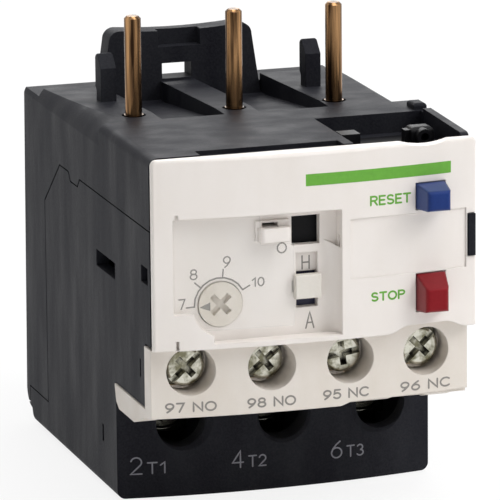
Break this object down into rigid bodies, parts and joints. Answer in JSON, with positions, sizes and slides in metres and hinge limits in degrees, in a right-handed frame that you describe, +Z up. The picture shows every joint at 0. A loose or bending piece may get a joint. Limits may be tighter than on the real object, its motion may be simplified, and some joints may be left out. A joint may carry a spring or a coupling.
{
  "type": "thermal overload relay",
  "caption": "Block-shaped thermal overload relay with a bowed white front, setting dial, two push buttons, terminal screws and round plug-in pins on top.",
  "frame": {"origin": "middle of the footprint of the whole relay, on the level of its base", "axes": "+Z up along the pins, +Y from the front cover to the back wall, +X to the right as seen from the front"},
  "size_m": [0.045, 0.069, 0.0644],
  "materials": {
    "dark_nylon": "fine textured moulding",
    "white_cover": "smooth satin moulding",
    "white_terminal": "smooth satin moulding",
    "clear_plastic": "clear polished plastic",
    "ivory_dial": "smooth satin moulding",
    "black_plastic": "smooth moulding",
    "orange_mark": "smooth moulding",
    "blue_button": "satin moulding",
    "red_button": "satin moulding",
    "white_knob": "satin moulding",
    "navy_slide": "satin moulding",
    "spring_steel": "bright wire and strip",
    "zinc_steel": "zinc plated",
    "brass": "bare",
    "bronze_pin": "bare bronze",
    "bimetal": "rolled strip",
    "heater_alloy": "resistance strip"
  },
  "bodies": {
    "housing": {"upper_housing": "dark_nylon", "lower_housing": "dark_nylon", "front_cover": "white_cover", "control_terminal_block": "white_terminal", "mechanism_frame": "black_plastic", "contact_tail_95": "brass", "contact_tail_96": "brass", "contact_tail_97": "brass", "contact_tail_98": "brass", "control_screws": "zinc_steel", "control_clamps": "zinc_steel", "power_screws": "zinc_steel", "power_clamps": "zinc_steel", "reset_spring": "spring_steel", "stop_spring": "spring_steel", "line_pin_1": "bronze_pin", "line_link_1": "brass", "bimetal_strip_1": "bimetal", "heater_winding_1": "heater_alloy", "load_link_1": "brass", "line_pin_2": "bronze_pin", "line_link_2": "brass", "bimetal_strip_2": "bimetal", "heater_winding_2": "heater_alloy", "load_link_2": "brass", "line_pin_3": "bronze_pin", "line_link_3": "brass", "bimetal_strip_3": "bimetal", "heater_winding_3": "heater_alloy", "load_link_3": "brass"},
    "clear_flap": {"clear_cover": "clear_plastic"},
    "dial": {"setting_dial": "ivory_dial", "dial_cam": "black_plastic"},
    "adjuster": {"adjusting_lever": "spring_steel", "compensator_strip": "bimetal"},
    "reset": {"reset_button": "blue_button"},
    "stop": {"stop_button": "red_button"},
    "selector": {"selector_knob": "white_knob", "selector_slide": "navy_slide"},
    "bars": {"trip_bar_lower": "black_plastic", "trip_bar_upper": "black_plastic", "trip_bar_link": "black_plastic"},
    "lever": {"trip_lever": "black_plastic"},
    "carrier": {"contact_carrier": "black_plastic", "bridge_open": "brass", "bridge_closed": "brass"},
    "flag": {"trip_flag": "black_plastic", "trip_mark": "orange_mark"}
  },
  "joints": [
    {"name": "clear_flap_hinge", "type": "hinge", "parent": "housing", "child": "clear_flap", "pos_m": [-0.0193, -0.02999, 0.037], "axis": [0, 0, -1], "range_deg": [0, 100]},
    {"name": "dial_turn", "type": "hinge", "parent": "housing", "child": "dial", "pos_m": [-0.01315, -0.0287, 0.0308], "axis": [0, 1, 0], "range_deg": [0, 155]},
    {"name": "adjuster_turn", "type": "hinge", "parent": "housing", "child": "adjuster", "pos_m": [-0.01725, -0.0201, 0.044], "axis": [0, 1, 0], "range_deg": [-4.2, 0]},
    {"name": "reset_press", "type": "slide", "parent": "housing", "child": "reset", "axis": [0, 1, 0], "range_m": [0, 0.002], "stiffness_N_per_m": 200, "springref_m": -0.004, "deforming": ["reset_spring"]},
    {"name": "stop_press", "type": "slide", "parent": "housing", "child": "stop", "axis": [0, 1, 0], "range_m": [0, 0.0018], "stiffness_N_per_m": 200, "springref_m": -0.004, "deforming": ["stop_spring"]},
    {"name": "selector_shift", "type": "slide", "parent": "housing", "child": "selector", "axis": [0, 0, 1], "range_m": [0, 0.0026]},
    {"name": "bar_slide", "type": "slide", "parent": "housing", "child": "bars", "axis": [1, 0, 0], "range_m": [0, 0.0015]},
    {"name": "trip_lever_turn", "type": "hinge", "parent": "housing", "child": "lever", "pos_m": [0.0178, -0.0017, 0.038], "axis": [0, 0, 1], "range_deg": [-6.7, 0]},
    {"name": "carrier_slide", "type": "slide", "parent": "housing", "child": "carrier", "axis": [-1, 0, 0], "range_m": [0, 0.0018]},
    {"name": "flag_slide", "type": "slide", "parent": "housing", "child": "flag", "axis": [-1, 0, 0], "range_m": [0, 0.003]}
  ],
  "couplings": [
    {"joint": "adjuster_turn", "follows": "dial_turn", "ratio": -0.0258},
    {"joint": "trip_lever_turn", "follows": "bar_slide", "rad_per_m": -76.923},
    {"joint": "carrier_slide", "follows": "bar_slide", "ratio": 1.2},
    {"joint": "flag_slide", "follows": "bar_slide", "ratio": 2}
  ]
}
